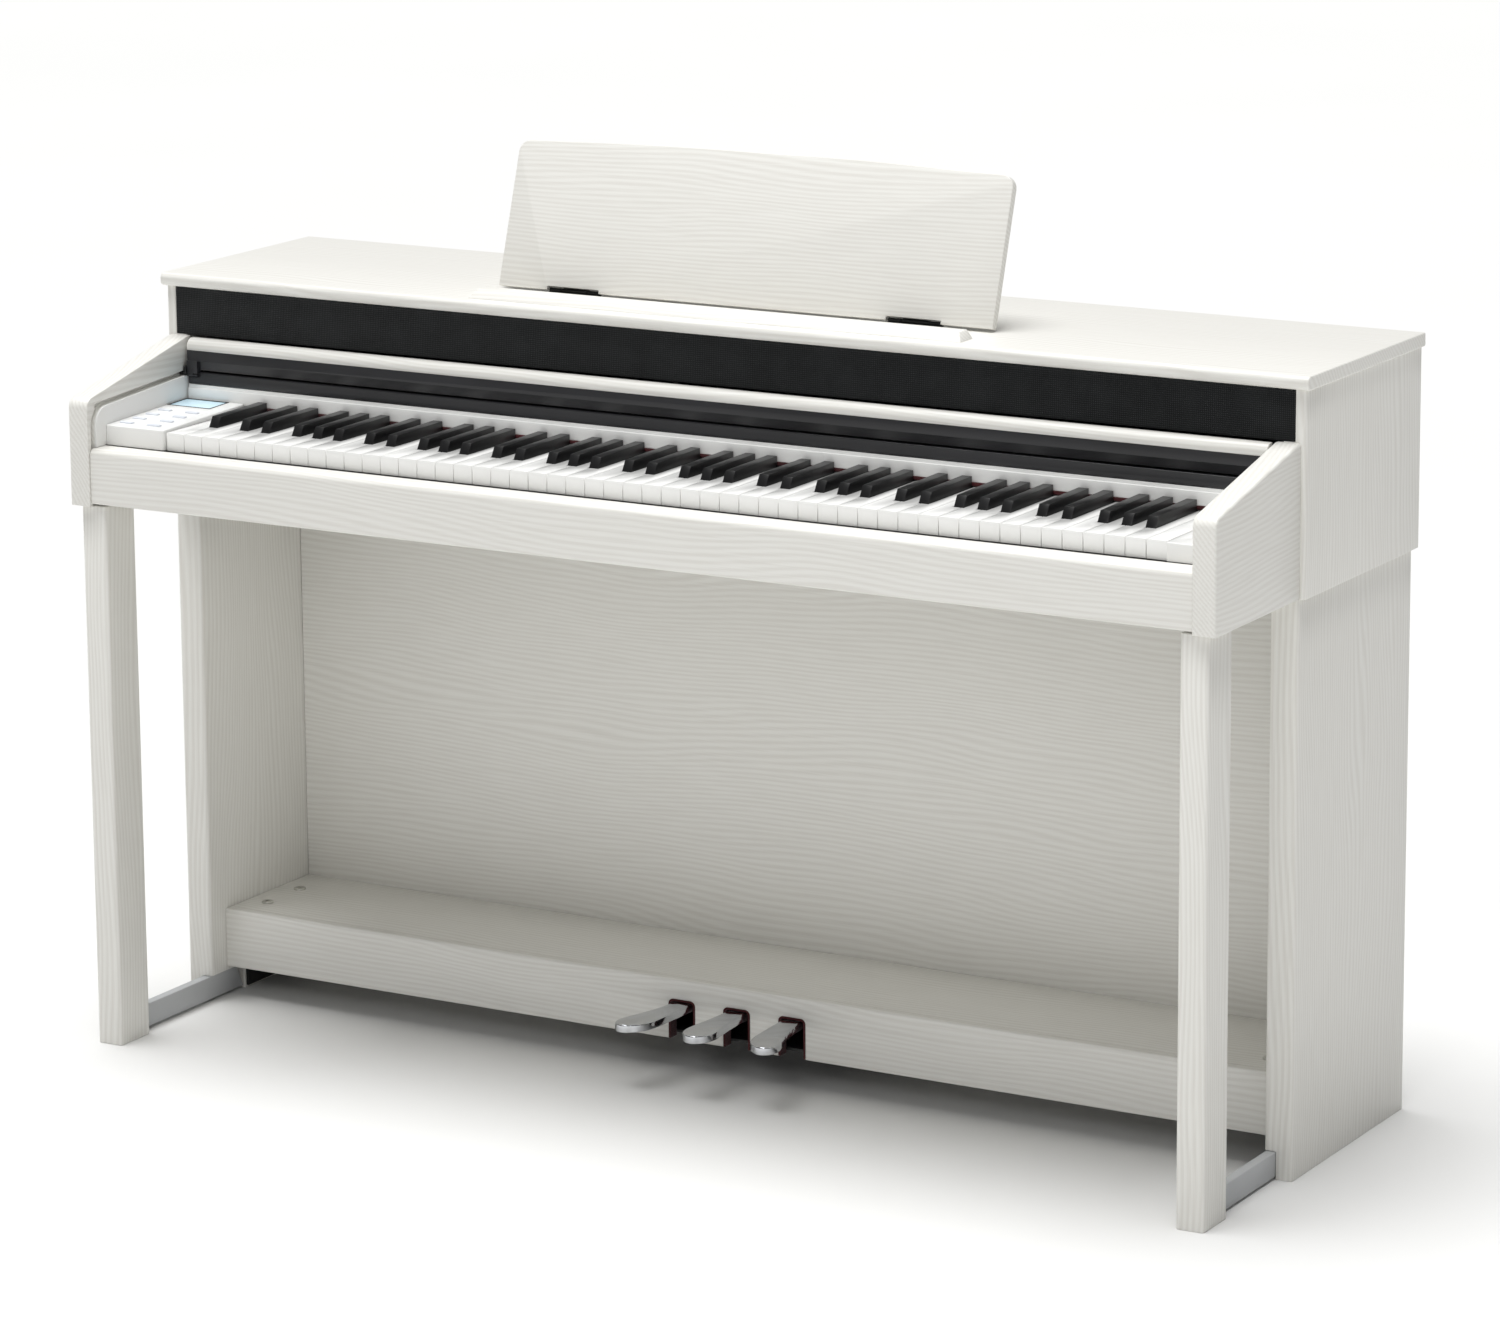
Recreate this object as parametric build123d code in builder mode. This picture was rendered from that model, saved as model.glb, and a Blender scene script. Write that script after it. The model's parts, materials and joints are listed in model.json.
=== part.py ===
"""A white digital piano on its stand: cabinet, folding key cover, keyboard, music desk and pedals.

Millimetres. X runs along the keys with the bass end at -X, Y runs to the back and Z up from the floor.
The origin is on the floor, in the middle of the width and of the depth.
"""

import math
import os

from build123d import *

os.makedirs("parts", exist_ok=True)

# Overall size
total_width = 1420
total_depth = 490
front = -total_depth / 2
gap = 0.3

# Cabinet boards
lid_top = 853
lid_board = 15
lid_bottom = lid_top - lid_board
lid_half = total_width / 2
lid_front_depth = 193
cabinet_half = 706
cabinet_inner = 680
cabinet_bottom = 621
cabinet_front_depth = 199
cloth_bottom = 784
cloth_thick = 4
cloth_half = 693
back_board = 12

# Arms beside the keys, and the slope that the key cover slides along
arm_half = 700
arm_inner = 674
arm_front_top = 740
arm_back_top = 783
rail_thick = 3
rail_front_depth = 12
rail_corner = 22
rail_back_depth = 380
groove_width = 5.3
groove_deep = 6
cover_slope = 0.0594
groove_floor_back = 740.4
cover_angle = math.degrees(math.atan(cover_slope))

# Key bed, key slip and the fascia behind the keys
keybed_thick = 18
keybed_back_depth = 474
slip_bottom = 624
slip_top = 686
slip_front_depth = 2
slip_back_depth = 29
fascia_half = 669
strip_bottom = 711
strip_top = 730
name_board_top = 744.3
fascia_front_depth = 186
fascia_back_depth = 200
felt_front_depth = 183.5
felt_back_depth = 187

# Folding key cover
fold_depth = 185
fold_z = 742.2
ear_wide = 14
ear_bottom = 739.5
pin_radius = 2
cover_closed_depth = 17
flap_front_depth = 184
flap_back_depth = 196
flap_bottom = 746
flap_step = 757
flap_top = 769
lip_top = 782
lip_round = 9

# Keyboard
key_pitch = 23.5
white_count = 52
keyboard_left = -592
key_top = 706
key_deep = 20
key_front_depth = 34.5
key_back_depth = 272
key_gap = 1.0
black_front_depth = 84.5
black_back_depth = 181.5
black_rise = 12
black_width = 12.5
pivot_depth = 262
pivot_z = 696
pivot_radius = 3

# End blocks beside the keys
block_front_depth = 30.5
block_back_depth = 184.2
panel_front_top = 709
panel_back_top = 713.5
button_rows = 4
button_columns = (-655, -618)
button_first_depth = 48
button_pitch = 24
screen_x = -641
screen_long = 56
screen_deep = 36
screen_middle_depth = 164
screen_inset = 2
button_long = 17
button_wide = 6.5

# Music desk
desk_half = 308
desk_side_height = 163
desk_middle_height = 169
desk_thick = 10
desk_lean = 17.8
desk_hinge_depth = 282
desk_hinge_z = 856
desk_back_offset = 2.5
stay_pivot_up = 83
stay_x = 120
stay_wide = 20
stay_thick = 3
hinge_x = (180, 245)

# Stand
side_inner = 668
side_front_depth = 198
side_back_depth = 484
leg_half = 690
leg_wide = 32
leg_front_depth = 6
leg_back_depth = 62
foot_low = 3
foot_high = 30
foot_inner = 670
foot_outer = 681
foot_end_depth = 264
back_panel_depth = 398
back_panel_thick = 15

# Pedals
box_bottom = 36
box_top = 105
box_front_depth = 228
box_front_thick = 13
box_top_thick = 13
pedal_middle = 16
pedal_spacing = 70
pedal_top = 78.5
pedal_thick = 9
pedal_tip_depth = 130
pedal_shank_half = 11.5
# Half width of a pedal at depths from its tip back to the box
pedal_plan = ((130, 9), (137, 15), (152, 17.5), (172, 15.5), (200, 12.5), (228, pedal_shank_half))
pedal_bend = 17
notch_wide = 34
notch_top = 82
screw_x = 639
screw_depths = (272, 338)
screw_radius = 7
screw_head = 2.4
housing_back_depth = 392
bracket_thick = 3
bracket_tall_back = 440
bracket_flat_back = 390
axle_depth = 350
axle_z = 70.5
axle_radius = 4
housing_half = 116
housing_wall = 3

sides = {"left": -1, "right": 1}


def at(depth):
    """Turn a depth measured back from the front plane into Y."""
    return front + depth


def span(sign, inner, outer):
    """Give the low and high X of something between two distances from the middle, on one side."""
    return tuple(sorted((sign * inner, sign * outer)))


def block(x, y, z, mode=Mode.ADD):
    """Add or cut a box between low and high values of X, Y and Z."""
    with Locations(((x[0] + x[1]) / 2, (y[0] + y[1]) / 2, (z[0] + z[1]) / 2)):
        Box(x[1] - x[0], y[1] - y[0], z[1] - z[0], mode=mode)


def rod(x, y, z, radius, mode=Mode.ADD):
    """Add or cut a round bar along X."""
    with Locations(Location(((x[0] + x[1]) / 2, y, z), (0, 90, 0))):
        Cylinder(radius, x[1] - x[0], mode=mode)


def keep(piece, name):
    """Label a finished piece and write it to its own file."""
    piece.part.label = name
    export_step(piece.part, f"parts/{name}.step")


def groove_floor(depth):
    """Height of the cover groove's floor at a depth from the front."""
    return groove_floor_back + cover_slope * (depth - cabinet_front_depth)


def make_lid():
    with BuildPart() as lid:
        block((-lid_half, lid_half), (at(lid_front_depth), at(total_depth)), (lid_bottom, lid_top))
        fillet(lid.edges().filter_by(Axis.X).group_by(Axis.Y)[0], radius=6)
        fillet(lid.edges().filter_by(Axis.Y), radius=2)
    keep(lid, "lid")


def make_cabinet_sides():
    for side, sign in sides.items():
        with BuildPart() as panel:
            block(span(sign, cabinet_inner, cabinet_half), (at(cabinet_front_depth), at(489)),
                  (cabinet_bottom, lid_bottom))
            fillet(panel.edges().filter_by(Axis.Z).group_by(Axis.Y)[0].sort_by(Axis.X)[::sign][-1], radius=5)
            block(span(sign, cabinet_inner - 1, cloth_half + gap),
                  (at(cabinet_front_depth) - 1, at(cabinet_front_depth) + cloth_thick + gap),
                  (cloth_bottom - gap, lid_bottom + 1), mode=Mode.SUBTRACT)
        keep(panel, f"cabinet_side_{side}")


def make_cabinet_back():
    with BuildPart() as board:
        half = cabinet_inner - gap
        block((-half, half), (at(474), at(474 + back_board)), (cabinet_bottom, lid_bottom))
        block((484.5, 515.5), (at(470), at(490)), (684.5, 709.5), mode=Mode.SUBTRACT)
    keep(board, "cabinet_back")


def make_speaker_cloth():
    with BuildPart() as cloth:
        block((-cloth_half, cloth_half), (at(cabinet_front_depth), at(cabinet_front_depth) + cloth_thick),
              (cloth_bottom, lid_bottom))
    keep(cloth, "speaker_cloth")


def arm_outline():
    """Side view of an arm: level foot, upright nose and a top that climbs to the cabinet."""
    Polygon((at(0), cabinet_bottom), (at(cabinet_front_depth), cabinet_bottom),
            (at(cabinet_front_depth), arm_back_top), (at(cabinet_front_depth - 6), arm_back_top),
            (at(0), arm_front_top), align=None)


def rail_outline(foot, rear):
    """Side view of a cover rail: upright front and the slope that the cover runs on."""
    Polygon((at(rail_front_depth), foot), (at(rear), foot), (at(rear), groove_floor(rear)),
            (at(rail_front_depth), groove_floor(rail_front_depth)), align=None)


def make_arms():
    for side, sign in sides.items():
        low, high = span(sign, arm_inner, arm_half)
        with BuildPart() as arm:
            with BuildSketch(Plane.YZ.offset(low)) as profile:
                arm_outline()
                fillet(profile.vertices().group_by(Axis.Y)[-2], radius=12)
            extrude(amount=high - low)
            rim = arm.faces().sort_by(Axis.X)[::sign][-1].edges()
            fillet([e for e in rim if e.center().Z > cabinet_bottom + 1
                    and e.center().Y < at(cabinet_front_depth) - 1], radius=3)
            with BuildSketch(Plane.YZ.offset(low if sign > 0 else high - groove_deep)):
                with BuildSketch(Plane.YZ.offset(low), mode=Mode.PRIVATE) as rail:
                    rail_outline(cabinet_bottom, cabinet_front_depth + 10)
                    fillet(rail.vertices().group_by(Axis.Y)[-2], radius=rail_corner)
                add(offset(rail.sketch_local, groove_width, mode=Mode.PRIVATE))
                add(rail.sketch_local, mode=Mode.SUBTRACT)
                # The front pins run straight on where the groove turns down
                ahead, behind = cover_closed_depth - pin_radius - 1, rail_front_depth + 2 * rail_corner
                Polygon((at(ahead), groove_floor(ahead)), (at(behind), groove_floor(behind)),
                        (at(behind), groove_floor(behind) + groove_width),
                        (at(ahead), groove_floor(ahead) + groove_width), align=None)
            extrude(amount=groove_deep, mode=Mode.SUBTRACT)
        keep(arm, f"arm_{side}")


def make_cover_rails():
    with BuildPart() as rails:
        for sign in sides.values():
            inner, outer = span(sign, arm_inner - rail_thick, arm_inner - gap / 10)
            with BuildSketch(Plane.YZ.offset(inner)) as profile:
                rail_outline(slip_top + gap, cabinet_front_depth + 6)
                fillet(profile.vertices().group_by(Axis.Y)[-2], radius=rail_corner)
            extrude(amount=outer - inner)
            low, high = span(sign, arm_inner - rail_thick, cabinet_inner - gap / 10)
            with BuildSketch(Plane.YZ.offset(low)):
                Polygon((at(cabinet_front_depth + gap), 700), (at(rail_back_depth), 700),
                        (at(rail_back_depth), groove_floor(rail_back_depth)),
                        (at(cabinet_front_depth + gap), groove_floor(cabinet_front_depth + gap)), align=None)
            extrude(amount=high - low)
    keep(rails, "cover_rails")


def make_key_slip():
    with BuildPart() as slip:
        half = arm_inner - gap
        block((-half, half), (at(slip_front_depth), at(slip_back_depth)), (slip_bottom, slip_top))
        fillet(slip.edges().filter_by(Axis.X).group_by(Axis.Y)[0].sort_by(Axis.Z)[-1], radius=7)
        fillet(slip.edges().filter_by(Axis.X).group_by(Axis.Y)[0].sort_by(Axis.Z)[0], radius=2)
    keep(slip, "key_slip")


def make_keybed():
    with BuildPart() as bed:
        half = arm_inner - gap
        block((-half, half), (at(slip_back_depth), at(keybed_back_depth)), (cabinet_bottom, cabinet_bottom + keybed_thick))
    keep(bed, "keybed")


def make_fascia():
    with BuildPart() as board:
        block((-fascia_half, fascia_half), (at(fascia_front_depth), at(fascia_back_depth)),
              (strip_top, name_board_top))
        fillet(board.edges().filter_by(Axis.X).group_by(Axis.Y)[0], radius=1.5)
        for sign in sides.values():
            block(span(sign, fascia_half - ear_wide - 1, fascia_half + 1),
                  (at(fascia_front_depth) - 1, at(fascia_back_depth) + 1), (ear_bottom - 1, name_board_top + 1),
                  mode=Mode.SUBTRACT)
    keep(board, "name_board")
    with BuildPart() as strip:
        block((-fascia_half, fascia_half), (at(fascia_front_depth), at(fascia_back_depth)),
              (strip_bottom, strip_top))
        block((-fascia_half, fascia_half), (at(fascia_front_depth) - 1.5, at(fascia_front_depth)),
              (strip_bottom, strip_top - 4))
    keep(strip, "key_strip")
    with BuildPart() as felt:
        left = keyboard_left + gap
        right = keyboard_left + white_count * key_pitch - gap
        block((left, right), (at(felt_front_depth), at(felt_back_depth)), (key_top + 1, strip_bottom))
    keep(felt, "felt_strip")


def button_places():
    """Centres of the control panel's two columns of buttons."""
    return [(x, at(button_first_depth + button_pitch * row)) for x in button_columns for row in range(button_rows)]


def panel_top(y):
    """Height of the control panel's sloping top."""
    share = (y - at(block_front_depth)) / (block_back_depth - block_front_depth)
    return panel_front_top + share * (panel_back_top - panel_front_top)


def make_control_panel():
    left, right = -670.7, keyboard_left - 1.2
    screen_tilt = math.degrees(math.atan((panel_back_top - panel_front_top)
                                         / (block_back_depth - block_front_depth)))
    middle = at(screen_middle_depth)
    glass = Plane(origin=(screen_x, middle, panel_top(middle)), x_dir=(1, 0, 0),
                  z_dir=(0, -math.sin(math.radians(screen_tilt)), math.cos(math.radians(screen_tilt))))
    with BuildPart() as panel:
        with BuildSketch(Plane.YZ.offset(left)):
            Polygon((at(block_front_depth), slip_top + gap), (at(block_back_depth), slip_top + gap),
                    (at(block_back_depth), panel_back_top), (at(block_front_depth), panel_front_top), align=None)
        extrude(amount=right - left)
        fillet(panel.edges().filter_by(Axis.Z).group_by(Axis.Y)[0].sort_by(Axis.X)[-1], radius=4)
        fillet(panel.edges().filter_by(Axis.X).group_by(Axis.Y)[0].sort_by(Axis.Z)[-1], radius=1.5)
        for x, y in button_places():
            block((x - button_long / 2 - 0.4, x + button_long / 2 + 0.4),
                  (y - button_wide / 2 - 0.4, y + button_wide / 2 + 0.4),
                  (panel_top(y) - 7, panel_top(y) + 3), mode=Mode.SUBTRACT)
        with BuildSketch(glass):
            Rectangle(screen_long + 2 * gap, screen_deep + 2 * gap)
        extrude(amount=-screen_inset, mode=Mode.SUBTRACT)
    keep(panel, "control_panel")
    with BuildPart() as screen:
        with BuildSketch(glass.offset(-screen_inset)):
            Rectangle(screen_long, screen_deep)
        extrude(amount=screen_inset - gap)
    keep(screen, "screen")
    with BuildPart() as buttons:
        for x, y in button_places():
            block((x - button_long / 2, x + button_long / 2), (y - button_wide / 2, y + button_wide / 2),
                  (panel_top(y) - 5.5, panel_top(y) + 1.3))
        fillet(buttons.edges().filter_by(Axis.Z), radius=2)
    keep(buttons, "panel_buttons")


def make_right_end_block():
    left = keyboard_left + white_count * key_pitch + 1.2
    knob_x, slot_y, power = 651, (at(92), at(136)), (651, at(62))
    with BuildPart() as end:
        block((left, 670.7), (at(block_front_depth), at(block_back_depth)), (slip_top + gap, key_top))
        fillet(end.edges().filter_by(Axis.X).group_by(Axis.Y)[0].sort_by(Axis.Z)[-1], radius=1.5)
        block((knob_x - 3, knob_x + 3), slot_y, (key_top - 8, key_top + 1), mode=Mode.SUBTRACT)
        with Locations((power[0], power[1], key_top)):
            Cylinder(6.4, 14, mode=Mode.SUBTRACT)
    keep(end, "right_end_block")
    with BuildPart() as slider:
        block((knob_x - 2.5, knob_x + 2.5), (slot_y[0] + 1, slot_y[0] + 9), (key_top - 7, key_top + 0.5))
        block((knob_x - 5.5, knob_x + 5.5), (slot_y[0] + 1, slot_y[0] + 9), (key_top + 0.5, key_top + 6))
        fillet(slider.edges().group_by(Axis.Z)[-1], radius=1)
    keep(slider, "volume_slider")
    with BuildPart() as button:
        with Locations((power[0], power[1], key_top - 5)):
            Cylinder(6, 6.5, align=(Align.CENTER, Align.CENTER, Align.MIN))
        fillet(button.edges().group_by(Axis.Z)[-1], radius=0.8)
    keep(button, "power_button")


def make_key_frame():
    left = keyboard_left - 1
    right = keyboard_left + white_count * key_pitch + 1
    bed_top = cabinet_bottom + keybed_thick
    with BuildPart() as frame:
        block((left - 10, right + 10), (at(50), at(300)), (bed_top, bed_top + 3))
        block((left - 10, right + 10), (at(60), at(72)), (bed_top + 3, bed_top + 20))
        for x in ((left - 10, left), (right, right + 10)):
            block(x, (at(250), at(274)), (bed_top + 3, pivot_z + 8))
        rod((left - 10, right + 10), at(pivot_depth), pivot_z, pivot_radius, mode=Mode.SUBTRACT)
        rod((left - 8, right + 8), at(pivot_depth), pivot_z, pivot_radius)
    keep(frame, "key_frame")


# Twelve notes of an octave: white notes carry their place among the white keys,
# black notes the white boundary that they sit on and how far they lean off it.
white_notes = {"c": 0, "d": 1, "e": 2, "f": 3, "g": 4, "a": 5, "b": 6}
black_notes = {"c_sharp": (1, -2.5), "d_sharp": (2, 2.5), "f_sharp": (4, -3.5), "g_sharp": (5, 0),
               "a_sharp": (6, 3.5)}
whites_below_first_c = 2


def boundary(octave, place):
    """X of the line between white keys at a place in an octave, counted from the lowest full octave."""
    return keyboard_left + key_pitch * (whites_below_first_c + 7 * octave + place)


def black_edges(place):
    """How far the black keys on either side reach over a white key, left and right."""
    reach = {low: black_width / 2 + lean for low, lean in black_notes.values()}
    back = {low: black_width / 2 - lean for low, lean in black_notes.values()}
    return reach.get(place, 0), back.get(place + 1, 0)


def white_key(octave, place):
    """One white key: a full-width head, a tail cut clear of the black keys, and the pivot hole."""
    left = boundary(octave, place) + key_gap / 2
    right = boundary(octave, place + 1) - key_gap / 2
    cut_left, cut_right = black_edges(place)
    first, last = left < keyboard_left + 1, octave == 7
    block((left, right), (at(key_front_depth), at(black_front_depth) - key_gap),
          (key_top - key_deep, key_top))
    block((left + (0 if first else cut_left), right - (0 if last else cut_right)),
          (at(black_front_depth) - key_gap, at(key_back_depth)), (key_top - key_deep, key_top))


def black_outline():
    """Side view of a black key: a raised, sloping cap on a stem that runs back to the pivot."""
    Polygon((at(black_front_depth), key_top - key_deep), (at(key_back_depth), key_top - key_deep),
            (at(key_back_depth), key_top), (at(black_back_depth), key_top),
            (at(black_back_depth), key_top + black_rise),
            (at(black_front_depth + 8), key_top + black_rise - 1),
            (at(black_front_depth), key_top - 2), align=None)


def key_octaves(name):
    """The octaves that have this note, from the lowest A to the highest C."""
    first = -1 if name in ("a", "a_sharp", "b") else 0
    last = 7 if name == "c" else 6
    return range(first, last + 1)


def make_keys():
    black_half = (black_width - key_gap) / 2
    for name in [*white_notes, *black_notes]:
        with BuildPart() as keys:
            for octave in key_octaves(name):
                if name in white_notes:
                    white_key(octave, white_notes[name])
                else:
                    place, lean = black_notes[name]
                    with BuildSketch(Plane.YZ.offset(boundary(octave, place) + lean - black_half)):
                        black_outline()
                    extrude(amount=2 * black_half)
            rod((keyboard_left - 5, keyboard_left + white_count * key_pitch + 5), at(pivot_depth), pivot_z,
                pivot_radius + 0.08, mode=Mode.SUBTRACT)
        keep(keys, f"keys_{name}")


def make_cover():
    """The folding cover: a sliding panel on two carriers, with a flap and its white lip at the front."""
    flap_half = fascia_half
    tilt = Plane(origin=(0, at(198), 747.5), x_dir=(1, 0, 0), z_dir=(0, -math.sin(math.radians(cover_angle)),
                 math.cos(math.radians(cover_angle))))
    with BuildPart() as panel:
        with BuildSketch(tilt):
            Rectangle(2 * flap_half, 172, align=(Align.CENTER, Align.MIN))
        extrude(amount=7)
    keep(panel, "cover_panel")
    with BuildPart() as carriers:
        for sign in sides.values():
            low, high = span(sign, flap_half + 0.3, flap_half + 4)
            rise = cover_slope * 165
            with BuildSketch(Plane.YZ.offset(low)):
                Polygon((at(fold_depth - 3), fold_z - 2), (at(fold_depth + 165), fold_z + rise - 2),
                        (at(fold_depth + 165), fold_z + rise + 10), (at(fold_depth - 3), fold_z + 8), align=None)
            extrude(amount=high - low)
            reach = span(sign, flap_half + 0.3, arm_inner + 5)
            for back_step in (0, 155):
                height = fold_z + cover_slope * back_step
                rod(reach, at(fold_depth + back_step), height, pin_radius)
            rod(span(sign, flap_half - 8, flap_half + 4), at(fold_depth), fold_z, pin_radius)
    keep(carriers, "cover_carriers")
    with BuildPart() as flap:
        block((-flap_half, flap_half), (at(flap_front_depth), at(flap_back_depth)), (flap_step, flap_top))
        block((-flap_half, flap_half), (at(flap_front_depth + 6), at(flap_back_depth + 0.5)), (flap_bottom, flap_step))
        for sign in sides.values():
            block(span(sign, flap_half - ear_wide, flap_half), (at(flap_front_depth - 1), at(flap_back_depth - 2)), (ear_bottom, flap_step))
        rod((-flap_half, flap_half), at(fold_depth), fold_z, pin_radius + 0.08,
            mode=Mode.SUBTRACT)
    keep(flap, "cover_flap")
    with BuildPart() as lip:
        block((-flap_half, flap_half), (at(flap_front_depth), at(flap_back_depth + 1)), (flap_top, lip_top))
        fillet(lip.edges().filter_by(Axis.X).group_by(Axis.Y)[0].sort_by(Axis.Z)[-1], radius=lip_round)
    keep(lip, "cover_lip")


def desk_frame():
    """Plane at the desk's hinge: Y runs up the board and Z out of its front."""
    lean = math.radians(desk_lean)
    return Plane(origin=(0, at(desk_hinge_depth), desk_hinge_z), x_dir=(1, 0, 0),
                 z_dir=(0, -math.cos(lean), math.sin(lean)))


def make_music_desk():
    board = desk_frame()
    with BuildPart() as desk:
        with BuildSketch(board.offset(-desk_back_offset)) as outline:
            with BuildLine():
                foot = Polyline((-desk_half, desk_side_height), (-desk_half, -1), (desk_half, -1),
                                (desk_half, desk_side_height))
                ThreePointArc(foot @ 1, (0, desk_middle_height), foot @ 0)
            make_face()
            fillet(outline.vertices().group_by(Axis.Y)[-1], radius=14)
            for sign in sides.values():
                middle = sign * sum(hinge_x) / 2
                with Locations((middle, 0.4)):
                    Rectangle(hinge_x[1] - hinge_x[0] + 1, 5, mode=Mode.SUBTRACT)
        extrude(amount=desk_thick)
        for sign in sides.values():
            middle = sign * sum(hinge_x) / 2
            with BuildSketch(board.offset(-desk_back_offset)):
                with Locations((middle, 12)):
                    Rectangle(34, 21)
            extrude(amount=2.1, mode=Mode.SUBTRACT)
            with BuildSketch(board.offset(-desk_back_offset)):
                with Locations((sign * stay_x, stay_pivot_up - 6)):
                    Rectangle(stay_wide + 4, desk_middle_height, align=(Align.CENTER, Align.MIN))
            extrude(amount=stay_thick + 0.6, mode=Mode.SUBTRACT)
    keep(desk, "music_desk")


def stay_axis():
    """Centre of the stays' pivot, just inside the desk's back."""
    lean = math.radians(desk_lean)
    inset = desk_back_offset - stay_thick / 2
    return (at(desk_hinge_depth) + stay_pivot_up * math.sin(lean) + inset * math.cos(lean),
            desk_hinge_z + stay_pivot_up * math.cos(lean) - inset * math.sin(lean))


def make_desk_hardware():
    board = desk_frame()
    pivot_y, pivot_height = stay_axis()
    with BuildPart() as tabs:
        for sign in sides.values():
            middle = sign * sum(hinge_x) / 2
            with BuildSketch(board.offset(-desk_back_offset)):
                with Locations((middle, 11)):
                    Rectangle(33, 21)
            extrude(amount=1.9)
            rod((middle - 16.5, middle + 16.5), at(desk_hinge_depth), desk_hinge_z, 2.5)
            rod((middle - 17, middle + 17), at(desk_hinge_depth), desk_hinge_z, 1.3, mode=Mode.SUBTRACT)
        for sign in sides.values():
            rod((sign * stay_x - stay_wide / 2 - 2, sign * stay_x + stay_wide / 2 + 2), pivot_y,
                pivot_height, 0.8)
    keep(tabs, "desk_hinge_hardware")
    stay = Plane(origin=(0, pivot_y, pivot_height), x_dir=(1, 0, 0),
                 z_dir=(0, math.cos(math.radians(desk_lean)), math.sin(math.radians(desk_lean))))
    with BuildPart() as stays:
        with BuildSketch(stay.offset(-stay_thick / 2)):
            for sign in sides.values():
                with Locations((sign * stay_x, -stay_thick / 2)):
                    Rectangle(stay_wide, stay_pivot_up + stay_thick / 2, align=(Align.CENTER, Align.MIN))
        extrude(amount=stay_thick)
        rod((-stay_x - 20, stay_x + 20), pivot_y, pivot_height, 0.88, mode=Mode.SUBTRACT)
    keep(stays, "desk_stays")
    with BuildPart() as leaves:
        for sign in sides.values():
            low, high = span(sign, *hinge_x)
            block((low, high), (at(desk_hinge_depth - 24), at(desk_hinge_depth - 2)), (lid_top, lid_top + 1.2))
            for x in ((low, low + 15), (high - 15, high)):
                block(x, (at(desk_hinge_depth - 4), at(desk_hinge_depth)), (lid_top, lid_top + 2))
                rod(x, at(desk_hinge_depth), desk_hinge_z, 2.5)
            rod((low, high), at(desk_hinge_depth), desk_hinge_z, 1.2)
    keep(leaves, "lid_hinge_leaves")


def make_desk_ledge():
    with BuildPart() as ledge:
        with BuildSketch(Plane.XY.offset(lid_top)):
            with Locations((0, at(206.5))):
                Rectangle(612, 28.5, align=(Align.CENTER, Align.MIN))
        with BuildSketch(Plane.XY.offset(lid_top + 9.5)):
            with Locations((0, at(216.5))):
                Rectangle(598, 18.5, align=(Align.CENTER, Align.MIN))
        loft()
    keep(ledge, "desk_ledge")


def make_stand_sides():
    for side, sign in sides.items():
        with BuildPart() as panel:
            block(span(sign, side_inner, arm_half), (at(side_front_depth), at(side_back_depth)),
                  (0, cabinet_bottom))
            fillet(panel.edges().filter_by(Axis.Z).group_by(Axis.Y)[0], radius=4)
            block(span(sign, side_inner - 1, foot_outer + 0.4), (at(side_front_depth) - 1, at(foot_end_depth)),
                  (-1, foot_high + 0.4), mode=Mode.SUBTRACT)
        keep(panel, f"stand_side_{side}")


def make_front_legs():
    with BuildPart() as legs:
        for sign in sides.values():
            block(span(sign, leg_half - leg_wide, leg_half), (at(leg_front_depth), at(leg_back_depth)),
                  (0, cabinet_bottom))
        fillet(legs.edges().filter_by(Axis.Z), radius=4)
    keep(legs, "front_legs")


def make_foot_bars():
    with BuildPart() as bars:
        for sign in sides.values():
            low, high = span(sign, foot_inner, foot_outer)
            with BuildSketch(Plane.YZ.offset(low)):
                Polygon((at(leg_back_depth), foot_low), (at(foot_end_depth - 0.5), foot_low),
                        (at(foot_end_depth - 14), foot_high), (at(leg_back_depth), foot_high), align=None)
            extrude(amount=high - low)
    keep(bars, "foot_bars")
    with BuildPart() as brackets:
        for sign in sides.values():
            block(span(sign, side_inner - bracket_thick, side_inner), (at(foot_end_depth + 2), at(bracket_tall_back)),
                  (foot_low, box_bottom))
            block(span(sign, side_inner - 33, side_inner - bracket_thick),
                  (at(foot_end_depth + 2), at(bracket_flat_back)),
                  (box_bottom - bracket_thick, box_bottom))
    keep(brackets, "foot_brackets")


def make_back_panel():
    with BuildPart() as panel:
        half = side_inner - gap
        block((-half, half), (at(back_panel_depth), at(back_panel_depth + back_panel_thick)),
              (box_bottom, cabinet_bottom))
    keep(panel, "back_panel")


def pedal_centres():
    """X of the three pedals and how far each one bends outward at its tip."""
    return {"soft": (pedal_middle - pedal_spacing, -pedal_bend), "sostenuto": (pedal_middle, 0),
            "damper": (pedal_middle + pedal_spacing, pedal_bend)}


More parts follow.
